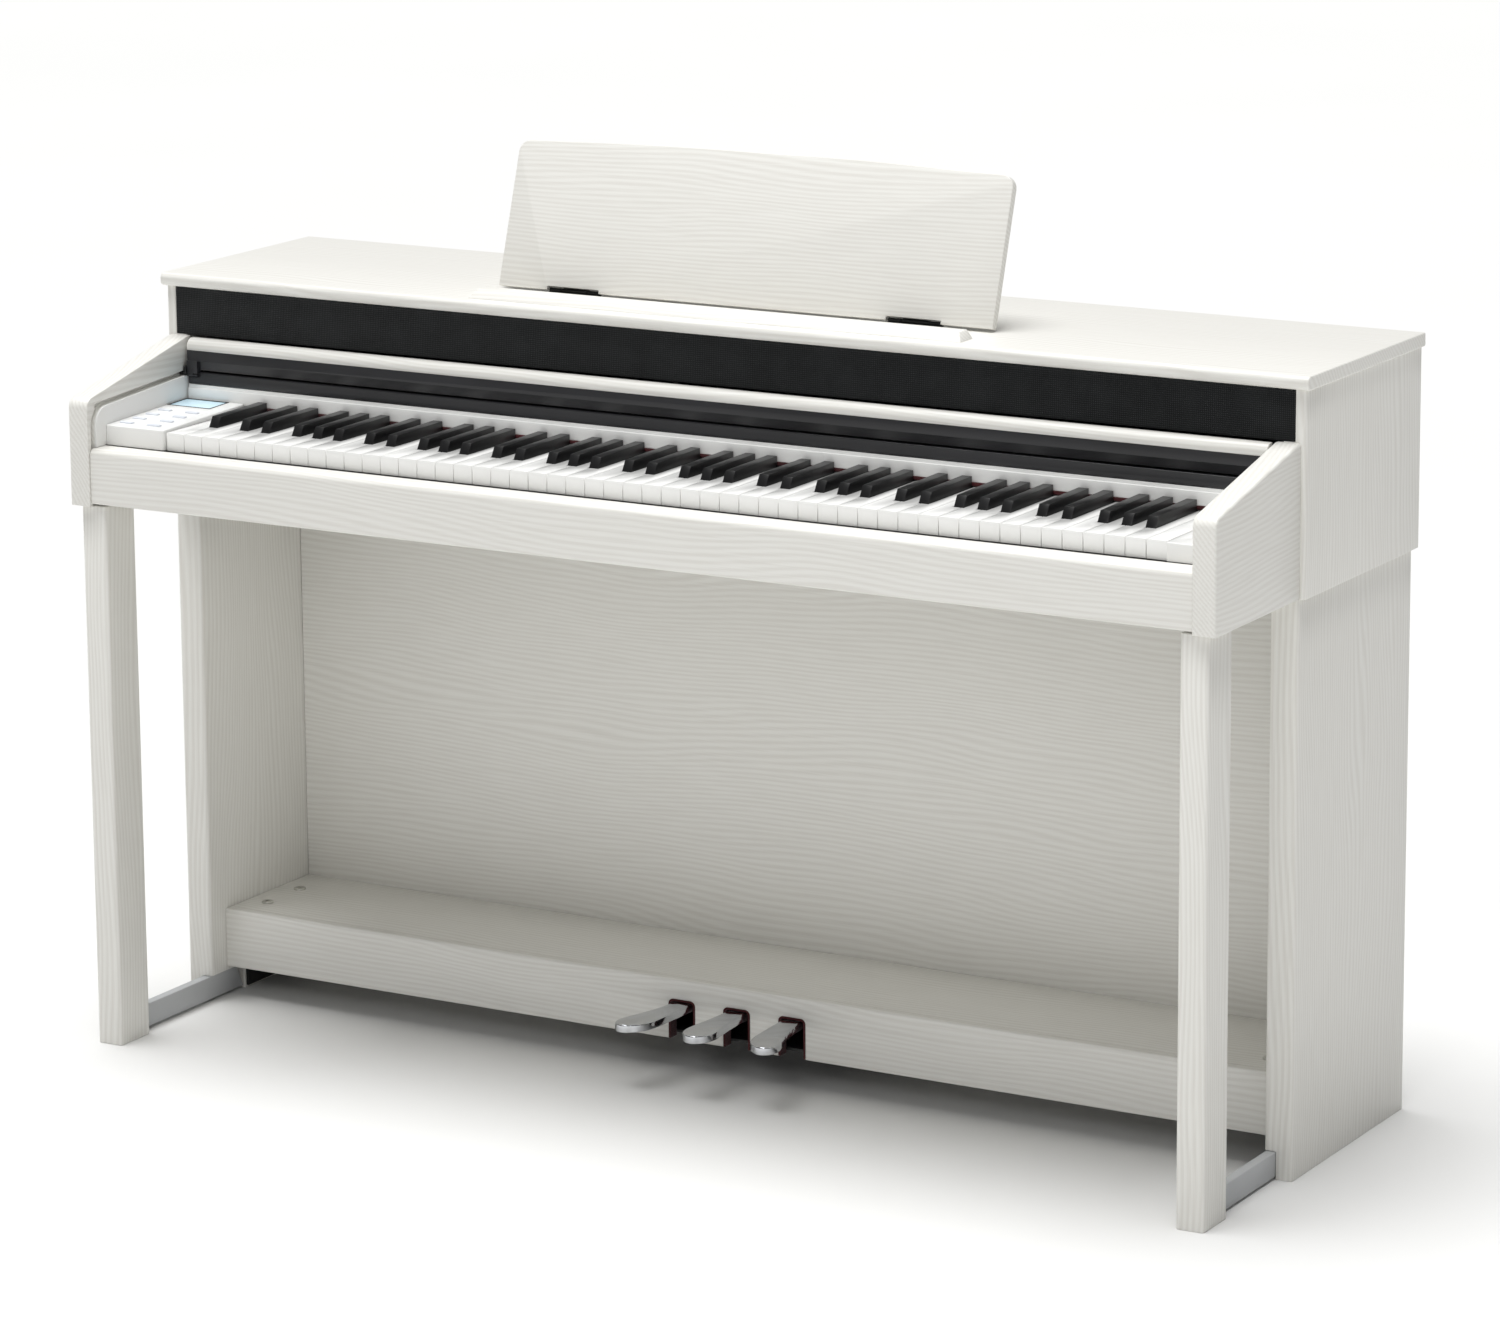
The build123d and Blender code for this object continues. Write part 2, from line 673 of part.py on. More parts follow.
def make_pedal_box():
    half = side_inner - gap
    box_inside = box_front_depth + box_front_thick
    with BuildPart() as board:
        block((-half, half), (at(box_front_depth), at(box_inside)), (box_bottom, box_top))
        fillet(board.edges().filter_by(Axis.X).group_by(Axis.Y)[0].sort_by(Axis.Z)[-1], radius=3)
        with BuildSketch(Plane.XZ.offset(-at(box_front_depth) + 1)) as notches:
            for x, _ in pedal_centres().values():
                with Locations((x, box_bottom - 10)):
                    Rectangle(notch_wide, notch_top - box_bottom + 10, align=(Align.CENTER, Align.MIN))
            fillet(notches.vertices().group_by(Axis.Y)[-1], radius=6)
        extrude(amount=-(box_front_thick + 2), mode=Mode.SUBTRACT)
    keep(board, "pedal_box_front")
    with BuildPart() as shelf:
        block((-half, half), (at(box_inside), at(back_panel_depth)), (box_top - box_top_thick, box_top))
    keep(shelf, "pedal_box_top")
    with BuildPart() as screws:
        with Locations([(sign * screw_x, at(depth), box_top) for sign in sides.values() for depth in screw_depths]):
            Cylinder(screw_radius, screw_head, align=(Align.CENTER, Align.CENTER, Align.MIN))
        fillet(screws.edges().group_by(Axis.Z)[-1], radius=1.4)
    keep(screws, "box_screws")
    with BuildPart() as housing:
        x = (pedal_middle - housing_half, pedal_middle + housing_half)
        y = (at(box_inside), at(housing_back_depth))
        z = (box_bottom + 4, box_top - box_top_thick)
        block(x, y, z)
        block((x[0] + housing_wall, x[1] - housing_wall), (y[0] - 1, y[1] - housing_wall),
              (z[0] + housing_wall, z[1] - housing_wall), mode=Mode.SUBTRACT)
        rod((x[0] - 1, x[1] + 1), at(axle_depth), axle_z, axle_radius, mode=Mode.SUBTRACT)
    keep(housing, "pedal_housing")
    with BuildPart() as axle:
        rod(x, at(axle_depth), axle_z, axle_radius)
    keep(axle, "pedal_axle")


def pedal_side(centre, bend, sign):
    """Points along one edge of a pedal's plan, from its tip back to the box, bent outward at the tip."""
    reach = box_front_depth - pedal_tip_depth
    points = []
    for depth, half in pedal_plan:
        share = (box_front_depth - depth) / reach
        points.append((centre + bend * share ** 1.6 + sign * half, at(depth)))
    return points


def make_pedals():
    for name, (centre, bend) in pedal_centres().items():
        with BuildPart() as pedal:
            with BuildSketch(Plane.XY.offset(pedal_top - pedal_thick)):
                with BuildLine():
                    left = Spline(*pedal_side(centre, bend, -1))
                    right = Spline(*pedal_side(centre, bend, 1))
                    ThreePointArc(left @ 0, (centre + bend, at(pedal_tip_depth - 4)), right @ 0)
                    Polyline(left @ 1, (centre - pedal_shank_half, at(axle_depth)),
                             (centre + pedal_shank_half, at(axle_depth)),
                             right @ 1)
                make_face()
            extrude(amount=pedal_thick)
            fillet(pedal.edges().group_by(Axis.Z)[-1].filter_by(lambda e: e.center().Y < at(box_front_depth)), radius=2)
            rod((centre - pedal_shank_half, centre + pedal_shank_half), at(axle_depth), axle_z, 9)
            rod((centre - 12, centre + 12), at(axle_depth), axle_z, axle_radius + 0.08, mode=Mode.SUBTRACT)
        keep(pedal, f"pedal_{name}")


def make_electronics():
    bed_top = cabinet_bottom + keybed_thick
    with BuildPart() as speakers:
        for sign in sides.values():
            y = at(cabinet_front_depth) + cloth_thick
            block(span(sign, 400, 560), (y, y + 3), (cloth_bottom + 2, lid_bottom - 2))
            with Locations(Location((sign * 480, y + 3, 811), (-90, 0, 0))):
                Cylinder(22, 26, align=(Align.CENTER, Align.CENTER, Align.MIN))
    keep(speakers, "speakers")
    with BuildPart() as circuit:
        block((-170, 150), (at(310), at(460)), (bed_top + 8, bed_top + 10))
        for x in (-160, 140):
            for y in (318, 452):
                with Locations((x, at(y), bed_top)):
                    Cylinder(3, 8, align=(Align.CENTER, Align.CENTER, Align.MIN))
        block((-60, -20), (at(360), at(400)), (bed_top + 10, bed_top + 13))
        block((40, 110), (at(330), at(350)), (bed_top + 10, bed_top + 24))
    keep(circuit, "main_board")
    with BuildPart() as jacks:
        block((-640, -570), (at(140), at(196)), (cabinet_bottom - 26, cabinet_bottom))
        with Locations(*[Location((x, at(140), cabinet_bottom - 14), (90, 0, 0)) for x in (-623, -587)]):
            Hole(3.2, depth=30)
    keep(jacks, "headphone_box")
    with BuildPart() as inlet:
        block((485, 515), (at(462), at(474 + back_board)), (685, 709))
        block((488, 512), (at(472), at(490)), (688, 706), mode=Mode.SUBTRACT)
    keep(inlet, "power_inlet")


make_lid()
make_cabinet_sides()
make_cabinet_back()
make_speaker_cloth()
make_arms()
make_cover_rails()
make_key_slip()
make_keybed()
make_fascia()
make_control_panel()
make_right_end_block()
make_key_frame()
make_keys()
make_cover()
make_music_desk()
make_desk_hardware()
make_desk_ledge()
make_stand_sides()
make_front_legs()
make_foot_bars()
make_back_panel()
make_pedal_box()
make_pedals()
make_electronics()
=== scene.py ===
import json
import math

import bpy
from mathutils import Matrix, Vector


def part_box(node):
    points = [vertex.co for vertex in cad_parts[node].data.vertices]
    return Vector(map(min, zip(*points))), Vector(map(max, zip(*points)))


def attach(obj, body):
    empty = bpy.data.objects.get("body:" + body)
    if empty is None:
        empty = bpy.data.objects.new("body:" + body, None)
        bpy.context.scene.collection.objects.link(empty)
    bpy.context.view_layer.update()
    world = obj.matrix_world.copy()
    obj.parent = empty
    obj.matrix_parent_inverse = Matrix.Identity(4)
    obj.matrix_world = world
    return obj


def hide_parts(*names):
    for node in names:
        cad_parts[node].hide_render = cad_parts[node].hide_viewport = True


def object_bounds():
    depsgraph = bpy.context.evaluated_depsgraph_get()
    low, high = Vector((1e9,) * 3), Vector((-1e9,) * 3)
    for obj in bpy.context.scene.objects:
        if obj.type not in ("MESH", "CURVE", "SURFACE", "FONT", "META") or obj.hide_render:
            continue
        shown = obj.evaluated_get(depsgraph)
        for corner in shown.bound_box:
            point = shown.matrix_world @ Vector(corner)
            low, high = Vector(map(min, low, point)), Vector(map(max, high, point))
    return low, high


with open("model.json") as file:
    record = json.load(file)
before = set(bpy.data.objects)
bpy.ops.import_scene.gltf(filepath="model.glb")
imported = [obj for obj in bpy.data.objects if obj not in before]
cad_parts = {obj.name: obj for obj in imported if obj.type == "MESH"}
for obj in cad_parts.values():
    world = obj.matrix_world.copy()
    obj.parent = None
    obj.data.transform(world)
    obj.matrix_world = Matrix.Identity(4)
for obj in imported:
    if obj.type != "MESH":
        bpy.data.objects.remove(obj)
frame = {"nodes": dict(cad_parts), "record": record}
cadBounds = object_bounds()
bpy.ops.object.select_all(action="DESELECT")

record = frame["record"]
nodes = frame["nodes"]
slotOf = {row["node"]: row["material_slot"] for row in record["subparts"]}
bodyOf = {name: body for body, names in record["behaviour"]["bodies"].items() for name in names}
frontPlane = cadBounds[0][1]  # front of the CAD box; depths below are measured back from it
print("frame loaded")


# sRGB hex colour to linear RGBA
def toLinear(hexColour):
    parts = [int(hexColour[i:i + 2], 16) / 255 for i in (1, 3, 5)]
    return tuple(p / 12.92 if p <= 0.04045 else ((p + 0.055) / 1.055) ** 2.4 for p in parts) + (1,)


# Adds a node with its settings and links. A setting is one of its inputs, a ramp's stops or its own property
def addNode(tree, kind, settings=None, links=None):
    node = tree.nodes.new(kind)
    for name, value in (settings or {}).items():
        if name == "stops":
            elements = node.color_ramp.elements
            while len(elements) < len(value):
                elements.new(0.5)
            for element, (position, colour) in zip(elements, value):
                element.position = position
                element.color = toLinear(colour)
        elif isinstance(name, int) or name in node.inputs:
            node.inputs[name].default_value = value
        else:
            setattr(node, name, value)
    for name, (source, output) in (links or {}).items():
        tree.links.new(source.outputs[output], node.inputs[name])
    return node


def emptyMaterial(name):
    material = bpy.data.materials.new(name)
    material.use_nodes = True
    material.node_tree.nodes.clear()
    return material, material.node_tree


def radians(degrees):
    return [math.radians(angle) for angle in degrees]


# Camera: a long lens in front, from the treble side and above
cameraValues = {
    "place": (3.0379, -5.2107, 1.8869),
    "turnDegrees": (78.2797, 0.4210, 29.9227),
    "lens": 136.27,
    "sensorWidth": 36,
    "shiftY": -0.101,
    "farthest": 200,
}


def makeCamera(values):
    bpy.ops.object.camera_add(location=values["place"], rotation=radians(values["turnDegrees"]))
    camera = bpy.context.object
    camera.name = "Camera"
    camera.data.sensor_width = values["sensorWidth"]
    camera.data.lens = values["lens"]
    camera.data.shift_y = values["shiftY"]
    camera.data.clip_end = values["farthest"]
    bpy.context.scene.camera = camera


makeCamera(cameraValues)
print("camera set")


# Studio: a pale floor under a white surround, one broad light overhead and a weak one in front
studioValues = {
    "floorColours": ("#E0E0DF", "#E2E2E1"),
    "floorSize": 120,
    "floorSquares": 4,
    "floorCloudsPerMetre": 0.6,
    "surroundColour": "#FFFFFF",
    "surroundStrength": 0.2,
    "overhead": {"place": (0, 0, 4), "turnDegrees": (3, -6, 0), "spreadDegrees": 40, "strength": 3.65},
    "front": {"place": (1.2, -3.4, 2.2), "aim": (0.5, 0, 0.4), "size": 1.6, "power": 20},
}


# Painted matt board: a barely uneven pale grey with no shine
def floorMaterial(values):
    material, tree = emptyMaterial("PaleStudioFloor")
    place = addNode(tree, "ShaderNodeTexCoord")
    clouds = addNode(tree, "ShaderNodeMapping", {"Scale": (values["floorCloudsPerMetre"],) * 3},
                     {"Vector": (place, "Object")})
    cloud = addNode(tree, "ShaderNodeTexNoise", {"Scale": 1, "Detail": 2, "Roughness": 0.5},
                    {"Vector": (clouds, "Vector")})
    first, second = values["floorColours"]
    tone = addNode(tree, "ShaderNodeValToRGB", {"stops": [(0.3, first), (0.7, second)]},
                   {"Fac": (cloud, "Fac")})
    surface = addNode(tree, "ShaderNodeBsdfPrincipled", {"Roughness": 0.9, "Specular IOR Level": 0.1},
                      {"Base Color": (tone, "Color")})
    addNode(tree, "ShaderNodeOutputMaterial", links={"Surface": (surface, "BSDF")})
    return material


def makeStudio(values):
    squares = values["floorSquares"]
    bpy.ops.mesh.primitive_grid_add(x_subdivisions=squares, y_subdivisions=squares, size=values["floorSize"])
    floor = bpy.context.object
    floor.name = "StudioFloor"
    floor.data.materials.append(floorMaterial(values))

    world = bpy.data.worlds.new("Studio")
    bpy.context.scene.world = world
    world.use_nodes = True
    background = world.node_tree.nodes["Background"]
    background.inputs["Color"].default_value = toLinear(values["surroundColour"])
    background.inputs["Strength"].default_value = values["surroundStrength"]

    overhead = values["overhead"]
    bpy.ops.object.light_add(type="SUN", location=overhead["place"],
                             rotation=radians(overhead["turnDegrees"]))
    light = bpy.context.object
    light.name = "OverheadLight"
    light.data.angle = math.radians(overhead["spreadDegrees"])
    light.data.energy = overhead["strength"]

    front = values["front"]
    aim = Vector(front["aim"]) - Vector(front["place"])
    bpy.ops.object.light_add(type="AREA", location=front["place"])
    light = bpy.context.object
    light.name = "FrontLamp"
    light.data.shape = "DISK"
    light.data.size = front["size"]
    light.data.energy = front["power"]
    light.rotation_euler = aim.to_track_quat("-Z", "Y").to_euler()
    bpy.context.scene.view_settings.view_transform = "Standard"  # keeps the whites of the foil white


makeStudio(studioValues)
print("studio set")


# White ash foil. Rings are 6.5 mm apart and wander by up to sixteen rings, as in a flat sawn board.
# Pores are drawn 1.6 mm apart and 70 mm long, coarser than real ones, so that they show
foilValues = {
    "pale": "#ECEBE6",
    "grain": "#E1DFD9",
    "ringPitch": 0.0065,
    "ringWander": 16,
    "ringWeight": 0.4,
    "wanderAlong": 1.6,
    "wanderAcross": 7,
    "poresAlong": 14,
    "poresAcross": 620,
    "poreWeight": 0.9,
    "poreDepth": 0.000018,
    "roughness": (0.38, 0.5),
}


# Printed and embossed foil on board: pale, with growth rings along one axis, broken up by fine short pores
def foilMaterial(name, grain, values):
    material, tree = emptyMaterial(name)
    across = [axis for axis in "XYZ" if axis != grain]
    slow = [values["wanderAlong"] if axis == grain else values["wanderAcross"] for axis in "XYZ"]
    fine = [values["poresAlong"] if axis == grain else values["poresAcross"] for axis in "XYZ"]
    place = addNode(tree, "ShaderNodeTexCoord")

    axes = addNode(tree, "ShaderNodeSeparateXYZ", links={"Vector": (place, "Object")})
    distance = addNode(tree, "ShaderNodeMath", {"operation": "ADD"},
                       {0: (axes, across[0]), 1: (axes, across[1])})
    slowPlace = addNode(tree, "ShaderNodeMapping", {"Scale": slow}, {"Vector": (place, "Object")})
    wander = addNode(tree, "ShaderNodeTexNoise", {"Scale": 1, "Detail": 2, "Roughness": 0.45},
                     {"Vector": (slowPlace, "Vector")})
    shift = addNode(tree, "ShaderNodeMath", {"operation": "MULTIPLY", 1: 2 * math.pi * values["ringWander"]},
                    {0: (wander, "Fac")})
    phase = addNode(tree, "ShaderNodeMath",
                    {"operation": "MULTIPLY_ADD", 1: 2 * math.pi / values["ringPitch"]},
                    {0: (distance, "Value"), 2: (shift, "Value")})
    wave = addNode(tree, "ShaderNodeMath", {"operation": "SINE"}, {0: (phase, "Value")})
    rings = addNode(tree, "ShaderNodeMapRange",
                    {"From Min": -1, "From Max": 1, "To Max": values["ringWeight"]},
                    {"Value": (wave, "Value")})

    finePlace = addNode(tree, "ShaderNodeMapping", {"Scale": fine}, {"Vector": (place, "Object")})
    pores = addNode(tree, "ShaderNodeTexNoise", {"Scale": 1, "Detail": 3, "Roughness": 0.6},
                    {"Vector": (finePlace, "Vector")})
    figure = addNode(tree, "ShaderNodeMath", {"operation": "MULTIPLY_ADD", 1: values["poreWeight"]},
                     {0: (pores, "Fac"), 2: (rings, "Result")})
    tone = addNode(tree, "ShaderNodeValToRGB", {"stops": [(0.45, values["pale"]), (0.9, values["grain"])]},
                   {"Fac": (figure, "Value")})
    shine = addNode(tree, "ShaderNodeMapRange",
                    {"To Min": values["roughness"][0], "To Max": values["roughness"][1]},
                    {"Value": (pores, "Fac")})
    relief = addNode(tree, "ShaderNodeBump", {"Strength": 1, "Distance": -values["poreDepth"]},
                     {"Height": (figure, "Value")})
    surface = addNode(tree, "ShaderNodeBsdfPrincipled", {"Coat Weight": 0.06, "Coat Roughness": 0.3},
                      {"Base Color": (tone, "Color"), "Roughness": (shine, "Result"),
                       "Normal": (relief, "Normal")})
    addNode(tree, "ShaderNodeOutputMaterial", links={"Surface": (surface, "BSDF")})
    return material


# Speaker cloth: its weave repeats every 2.2 mm, coarser than a real one, so that it shows
clothValues = {
    "threadSpacing": 0.0022,
    "waver": 0.6,
    "patchesPerMetre": 35,
    "colours": ("#0E0F10", "#232526", "#303233"),
    "threadHeight": 0.0003,
}


# Woven cloth: an open grid of dull threads, a little uneven, that drinks the light
def clothMaterial(values):
    material, tree = emptyMaterial("BlackSpeakerCloth")
    place = addNode(tree, "ShaderNodeTexCoord")
    scale = math.pi / (10 * values["threadSpacing"])  # a wave of scale 1 repeats every pi / 10 metres
    threads = [addNode(tree, "ShaderNodeTexWave",
                       {"bands_direction": direction, "Scale": scale, "Distortion": values["waver"],
                        "Detail": 1},
                       {"Vector": (place, "Object")}) for direction in "XZ"]
    weave = addNode(tree, "ShaderNodeMath", {"operation": "MULTIPLY"},
                    {0: (threads[0], "Fac"), 1: (threads[1], "Fac")})
    patchPlace = addNode(tree, "ShaderNodeMapping", {"Scale": (values["patchesPerMetre"],) * 3},
                         {"Vector": (place, "Object")})
    patches = addNode(tree, "ShaderNodeTexNoise", {"Scale": 1, "Detail": 3, "Roughness": 0.5},
                      {"Vector": (patchPlace, "Vector")})
    mixed = addNode(tree, "ShaderNodeMath", {"operation": "MULTIPLY_ADD", 1: 0.5},
                    {0: (patches, "Fac"), 2: (weave, "Value")})
    tone = addNode(tree, "ShaderNodeValToRGB", {"stops": list(zip((0.15, 0.7, 1.0), values["colours"]))},
                   {"Fac": (mixed, "Value")})
    relief = addNode(tree, "ShaderNodeBump", {"Strength": 1, "Distance": values["threadHeight"]},
                     {"Height": (weave, "Value")})
    surface = addNode(tree, "ShaderNodeBsdfPrincipled",
                      {"Roughness": 0.95, "Sheen Weight": 0.12, "Sheen Roughness": 0.5,
                       "Specular IOR Level": 0.2},
                      {"Base Color": (tone, "Color"), "Normal": (relief, "Normal")})
    addNode(tree, "ShaderNodeOutputMaterial", links={"Surface": (surface, "BSDF")})
    return material


# Patterns are counts per metre, so 1400 is 0.7 mm: coarser than the real ones, but seen only close up.
# "slow" is how coarsely tone and shine change, "fine" the texture that stands up by depth metres
surfaceValues = {
    # Injection moulded ABS: black with a satin sheen that greys where it catches the light
    "satin_black": {"name": "SatinBlackAbs", "colours": ("#252527", "#2E2E31"), "roughness": (0.26, 0.34),
                    "slow": (6, 6, 6), "fine": (1400, 1400, 1400), "depth": 0.00003},
    # Moulded ABS: a clean white, half gloss
    "white_plastic": {"name": "WhiteAbs", "colours": ("#EDEDEB", "#F3F3F1"), "roughness": (0.25, 0.33),
                      "slow": (6, 6, 6), "fine": (1100, 1100, 1100), "depth": 0.000015},
    # Moulded ABS: matt and faintly blue
    "button_plastic": {"name": "PaleButtonPlastic", "colours": ("#D5DAE3", "#E2E6EC"),
                       "roughness": (0.35, 0.45), "slow": (6, 6, 6),
                       "fine": (1400, 1400, 1400), "depth": 0.00002},
    # Pressed wool felt: a dark red with soft loose fibres
    "red_felt": {"name": "DarkRedFelt", "colours": ("#35080D", "#4C0B12"), "roughness": (0.9, 1.0),
                 "slow": (6, 6, 6), "fine": (900, 900, 900), "depth": 0.0004,
                 "shader": {"Sheen Weight": 0.4, "Sheen Roughness": 0.4}},
    # Sprayed enamel on sheet steel: satin, with a slight orange peel
    "black_steel": {"name": "BlackPaintedSteel", "colours": ("#191919", "#222222"), "roughness": (0.4, 0.5),
                    "slow": (6, 6, 6), "fine": (1200, 1200, 1200), "depth": 0.00003},
    # The same enamel in a light grey
    "grey_paint": {"name": "GreyPaintedSteel", "colours": ("#B4B6B8", "#BEC0C2"), "roughness": (0.42, 0.52),
                   "slow": (6, 6, 6), "fine": (900, 900, 900), "depth": 0.00003},
    # Moulded polypropylene: a plain dull black
    "black_plastic": {"name": "BlackPlastic", "colours": ("#151516", "#1D1D1F"), "roughness": (0.4, 0.5),
                      "slow": (6, 6, 6), "fine": (1300, 1300, 1300), "depth": 0.00003},
    # Moulded acrylic, polished: white with a clear gloss
    "white_keys": {"name": "WhiteKeyAcrylic", "colours": ("#F4F4F2", "#F8F8F6"), "roughness": (0.12, 0.18),
                   "slow": (6, 6, 6), "fine": (700, 700, 700), "depth": 0.000004,
                   "shader": {"Coat Weight": 0.4, "Coat Roughness": 0.06}},
    # Moulded ABS with a fine texture: near black with a soft shine
    "black_keys": {"name": "BlackKeyPlastic", "colours": ("#0D0D0E", "#161617"), "roughness": (0.28, 0.38),
                   "slow": (6, 6, 6), "fine": (1500, 1500, 1500), "depth": 0.00002},
    # Cold drawn steel: bright, with faint lines along X
    "steel": {"name": "PlainSteel", "colours": ("#C4C5C6", "#D2D3D3"), "roughness": (0.28, 0.42),
              "slow": (45, 45, 45), "fine": (60, 900, 900), "depth": 0.00001, "shader": {"Metallic": 1}},
    # Zinc plated steel: warm and slightly patchy
    "zinc_steel": {"name": "ZincSteel", "colours": ("#C9C8C2", "#DAD9D4"), "roughness": (0.25, 0.4),
                   "slow": (45, 45, 45), "fine": (700, 700, 700), "depth": 0.00001,
                   "shader": {"Metallic": 1}},
    # Chrome plate: nearly a mirror, with the faintest polishing marks from front to back
    "chrome": {"name": "PolishedChrome", "colours": ("#C2C4C8", "#CDCFD2"), "roughness": (0.05, 0.12),
               "slow": (45, 45, 45), "fine": (500, 60, 500), "depth": 0.000004, "shader": {"Metallic": 1}},
}


# Plastic, felt, paint or metal: tone and shine change slowly, and a fine texture stands up from it
def surfaceMaterial(values):
    material, tree = emptyMaterial(values["name"])
    metal = "Metallic" in values.get("shader", {})
    place = addNode(tree, "ShaderNodeTexCoord")
    slowPlace = addNode(tree, "ShaderNodeMapping", {"Scale": values["slow"]}, {"Vector": (place, "Object")})
    slow = addNode(tree, "ShaderNodeTexNoise", {"Scale": 1, "Detail": 3 if metal else 2, "Roughness": 0.5},
                   {"Vector": (slowPlace, "Vector")})
    finePlace = addNode(tree, "ShaderNodeMapping", {"Scale": values["fine"]}, {"Vector": (place, "Object")})
    fine = addNode(tree, "ShaderNodeTexNoise", {"Scale": 1, "Detail": 2, "Roughness": 0.5},
                   {"Vector": (finePlace, "Vector")})
    first, second = values["colours"]
    tone = addNode(tree, "ShaderNodeValToRGB", {"stops": [(0.3, first), (0.7, second)]},
                   {"Fac": (slow, "Fac")})
    shine = addNode(tree, "ShaderNodeMapRange",
                    {"To Min": values["roughness"][0], "To Max": values["roughness"][1]},
                    {"Value": (slow, "Fac")})
    relief = addNode(tree, "ShaderNodeBump", {"Strength": 1, "Distance": values["depth"]},
                     {"Height": (fine, "Fac")})
    surface = addNode(tree, "ShaderNodeBsdfPrincipled", values.get("shader"),
                      {"Base Color": (tone, "Color"), "Roughness": (shine, "Result"),
                       "Normal": (relief, "Normal")})
    addNode(tree, "ShaderNodeOutputMaterial", links={"Surface": (surface, "BSDF")})
    return material


# glow is painted light: a faint emission that makes the screen glow, though it is no lamp
displayValues = {"cellSpacing": 0.001, "colours": ("#BCD9E6", "#CDE5F0"), "glow": 0.12, "roughness": 0.12}


# Liquid crystal display under glass: rows of fine pale blue cells, with a faint painted glow as if lit from
# behind
def displayMaterial(values):
    material, tree = emptyMaterial("PaleDisplay")
    place = addNode(tree, "ShaderNodeTexCoord")
    cells = addNode(tree, "ShaderNodeTexWave",
                    {"bands_direction": "X", "Scale": math.pi / (10 * values["cellSpacing"])},
                    {"Vector": (place, "Object")})
    tone = addNode(tree, "ShaderNodeValToRGB", {"stops": list(zip((0.0, 1.0), values["colours"]))},
                   {"Fac": (cells, "Fac")})
    surface = addNode(tree, "ShaderNodeBsdfPrincipled",
                      {"Roughness": values["roughness"], "Emission Strength": values["glow"]},
                      {"Base Color": (tone, "Color"), "Emission Color": (tone, "Color")})
    addNode(tree, "ShaderNodeOutputMaterial", links={"Surface": (surface, "BSDF")})
    return material


circuitValues = {
    "patternPerMetre": 120,
    "mask": ("#0E4A26", "#12532B"),
    "track": "#2C7A48",
    "trackWidth": 0.03,
}


# Glass fibre board under green solder mask: paler lines where tracks run, under a millimetre apart
def circuitMaterial(values):
    material, tree = emptyMaterial("GreenCircuitBoard")
    place = addNode(tree, "ShaderNodeTexCoord")
    trackPlace = addNode(tree, "ShaderNodeMapping", {"Scale": (values["patternPerMetre"],) * 3},
                         {"Vector": (place, "Object")})
    first, second = values["mask"]
    tracks = addNode(tree, "ShaderNodeTexBrick",
                     {"Color1": toLinear(first), "Color2": toLinear(second),
                      "Mortar": toLinear(values["track"]), "Mortar Size": values["trackWidth"]},
                     {"Vector": (trackPlace, "Vector")})
    surface = addNode(tree, "ShaderNodeBsdfPrincipled", {"Roughness": 0.35},
                      {"Base Color": (tracks, "Color")})
    addNode(tree, "ShaderNodeOutputMaterial", links={"Surface": (surface, "BSDF")})
    return material


finishes = {slot: surfaceMaterial(values) for slot, values in surfaceValues.items()}
finishes["white_foil"] = foilMaterial("AshFoilLengthways", "X", foilValues)
finishes["foil_deep"] = foilMaterial("AshFoilFrontToBack", "Y", foilValues)
finishes["foil_upright"] = foilMaterial("AshFoilUpright", "Z", foilValues)
finishes["black_cloth"] = clothMaterial(clothValues)
finishes["display"] = displayMaterial(displayValues)
finishes["circuit_board"] = circuitMaterial(circuitValues)
print("materials made")


# Boards, mouldings, keys and pedals keep their CAD shape, with each edge eased by a real radius in metres
easeValues = {
    "lid": 0.0012, "cabinet_side_left": 0.0008, "cabinet_side_right": 0.0008, "cabinet_back": 0.0008,
    "speaker_cloth": 0.001, "arm_left": 0.0008, "arm_right": 0.0008, "key_slip": 0.001, "keybed": 0.0008,
    "name_board": 0.0006, "key_strip": 0.0006, "felt_strip": 0.0008, "control_panel": 0.0005,
    "right_end_block": 0.0005, "stand_side_left": 0.0008, "stand_side_right": 0.0008, "front_legs": 0.001,
    "foot_bars": 0.0008, "back_panel": 0.0008, "pedal_box_front": 0.0006, "pedal_box_top": 0.0008,
    "desk_ledge": 0.0008, "cover_panel": 0.0006, "cover_flap": 0.0005, "cover_lip": 0.0006,
    "music_desk": 0.0009, "panel_buttons": 0.0005, "volume_slider": 0.0003, "power_button": 0.0003,
    "cover_rails": 0.0003, "foot_brackets": 0.0004, "desk_stays": 0.0004,
}
easeValues.update({f"keys_{note}": 0.0007 for note in "cdefgab"})
easeValues.update({f"keys_{note}_sharp": 0.0015 for note in "cdfga"})
easeValues.update({f"pedal_{name}": 0.0006 for name in ("soft", "sostenuto", "damper")})

# Pieces whose grain doesn't run along the keys
grainValues = {
    "foil_deep": ("arm_left", "arm_right"),
    "foil_upright": ("cabinet_side_left", "cabinet_side_right", "stand_side_left", "stand_side_right",
                     "front_legs"),
}
grainOf = {node: finish for finish, names in grainValues.items() for node in names}

meshValues = {
    "joinWithin": 0.00001,
    "flatWithinDegrees": 1,
    "easedOverDegrees": 35,
    "easeSegments": 2,
    "smoothUnderDegrees": 38,
}


def finishFor(node):
    return finishes[grainOf.get(node, slotOf[node])]


def activate(piece):
    bpy.ops.object.select_all(action="DESELECT")
    piece.select_set(True)
    bpy.context.view_layer.objects.active = piece


